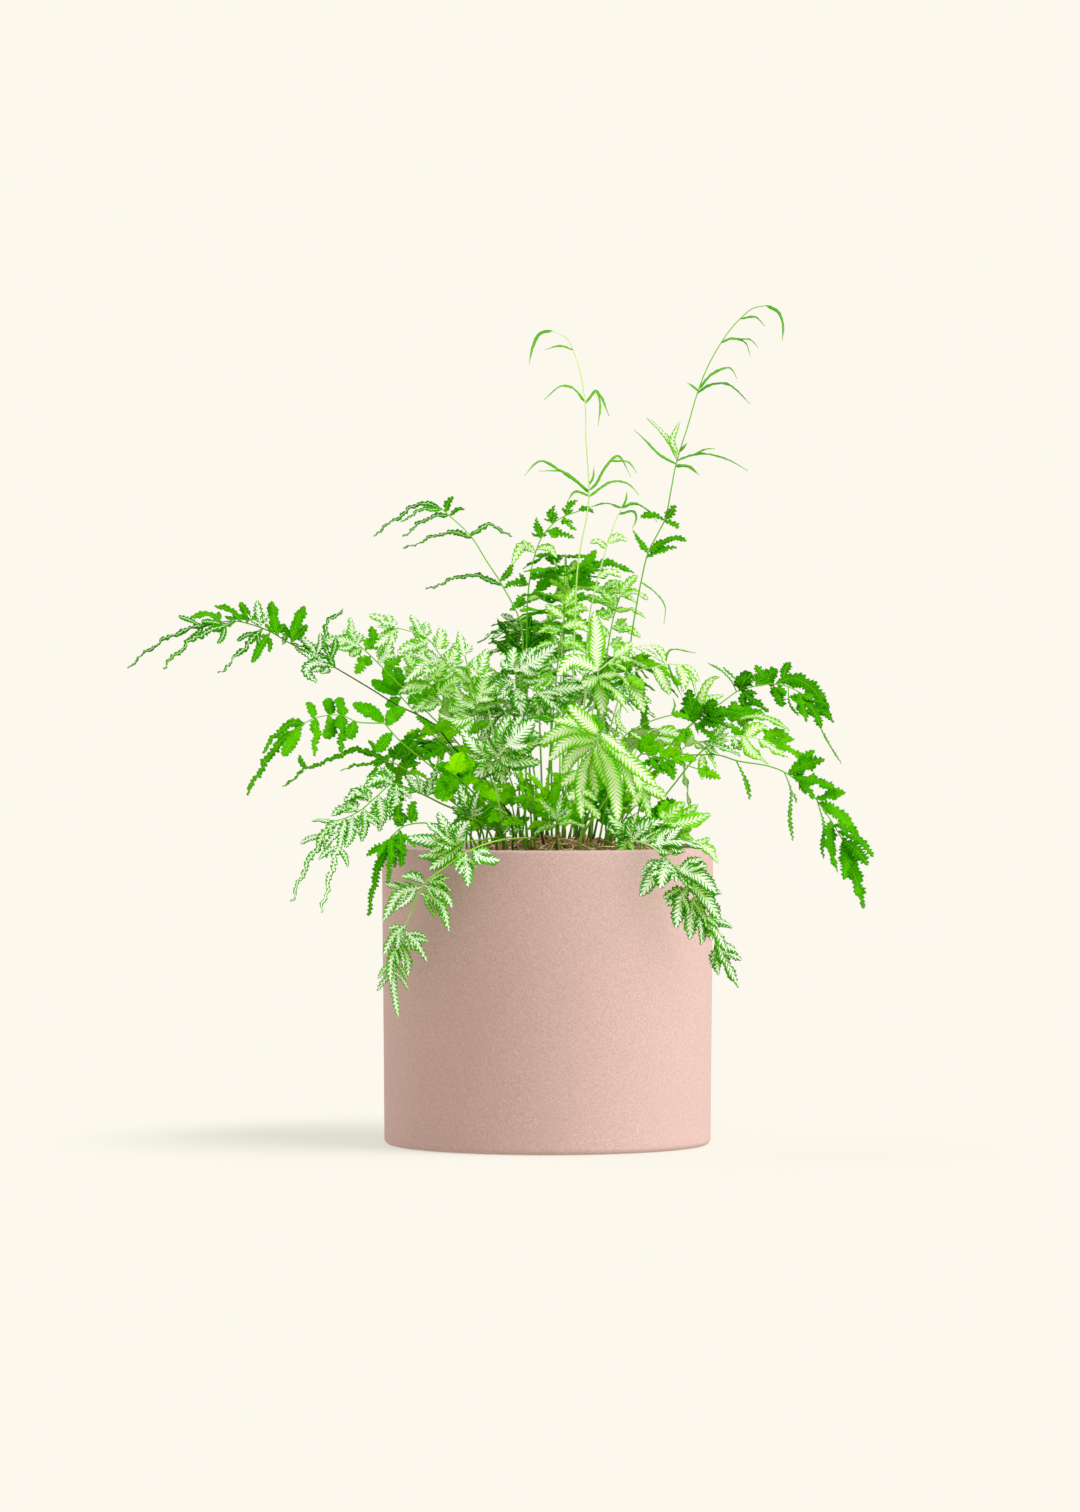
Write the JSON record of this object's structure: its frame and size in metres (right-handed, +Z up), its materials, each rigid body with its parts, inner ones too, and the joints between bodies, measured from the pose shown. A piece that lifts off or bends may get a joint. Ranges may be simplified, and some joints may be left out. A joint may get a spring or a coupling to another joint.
{
  "type": "potted silver lace fern",
  "caption": "Silver lace fern in a plain matte pink cylinder pot: arching green, lime and silver-striped fronds, tall slender fertile fronds, potting mix and a fibrous crown.",
  "frame": {"origin": "middle of the pot's flat foot, on the surface it stands on", "axes": "+Z up along the pot's axis, -Y towards the front of the plant as pictured, +X to the viewer's right"},
  "size_m": [0.3381, 0.2765, 0.3796],
  "materials": {
    "pot_ceramic": "matte",
    "potting_mix": "matte",
    "rhizome_crown": "matte",
    "leaf_green": "satin",
    "leaf_dark": "satin",
    "leaf_lime": "satin",
    "leaf_silver": "satin"
  },
  "bodies": {
    "root": {"pot": "pot_ceramic", "potting_mix": "potting_mix", "rhizome_crown": "rhizome_crown", "tall_frond_left": "leaf_green", "tall_frond_right": "leaf_green", "slender_fertile_frond": "leaf_lime", "upper_left_arching_frond": "leaf_green", "upper_dark_frond": "leaf_dark", "pale_upper_frond": "leaf_lime", "curled_dark_frond": "leaf_dark", "far_left_frond": "leaf_green", "left_rear_frond": "leaf_silver", "silver_upper_left_frond": "leaf_silver", "left_green_frond": "leaf_green", "left_slim_frond": "leaf_green", "left_cluster_frond": "leaf_green", "left_low_silver_frond": "leaf_silver", "pot_edge_green_frond": "leaf_green", "front_left_trailing_frond": "leaf_silver", "front_left_rim_frond": "leaf_silver", "small_silver_frond": "leaf_silver", "left_broad_green_frond": "leaf_green", "centre_silver_frond": "leaf_silver", "centre_frond": "leaf_silver", "centre_right_pale_frond": "leaf_lime", "pale_palmate_frond": "leaf_lime", "right_hanging_pale_frond": "leaf_lime", "right_upper_green_frond": "leaf_green", "right_dark_frond": "leaf_dark", "right_side_sprig": "leaf_green", "right_mid_pale_frond": "leaf_lime", "long_right_frond": "leaf_green", "right_pale_frond": "leaf_lime", "right_low_green_frond": "leaf_green", "right_rim_pale_frond": "leaf_lime", "front_right_trailing_frond": "leaf_silver", "small_right_rim_frond": "leaf_lime", "crozier_right": "leaf_lime", "crozier_left": "leaf_dark", "crozier_centre": "leaf_dark", "column_right_frond": "leaf_green", "column_left_frond": "leaf_green", "inner_green_frond": "leaf_green", "silver_inner_left_frond": "leaf_silver", "left_inner_green_frond": "leaf_green", "low_centre_green_frond": "leaf_green", "low_star_frond": "leaf_lime", "low_slim_frond": "leaf_green", "low_left_green_frond": "leaf_green", "low_mid_green_frond": "leaf_green", "low_right_green_frond": "leaf_green", "rear_frond_1": "leaf_green", "rear_frond_2": "leaf_silver", "rear_frond_3": "leaf_green", "rear_frond_4": "leaf_silver", "rear_frond_5": "leaf_lime", "rear_frond_6": "leaf_dark", "rear_frond_7": "leaf_silver", "rear_frond_8": "leaf_lime", "rear_frond_9": "leaf_dark"}
  },
  "joints": []
}
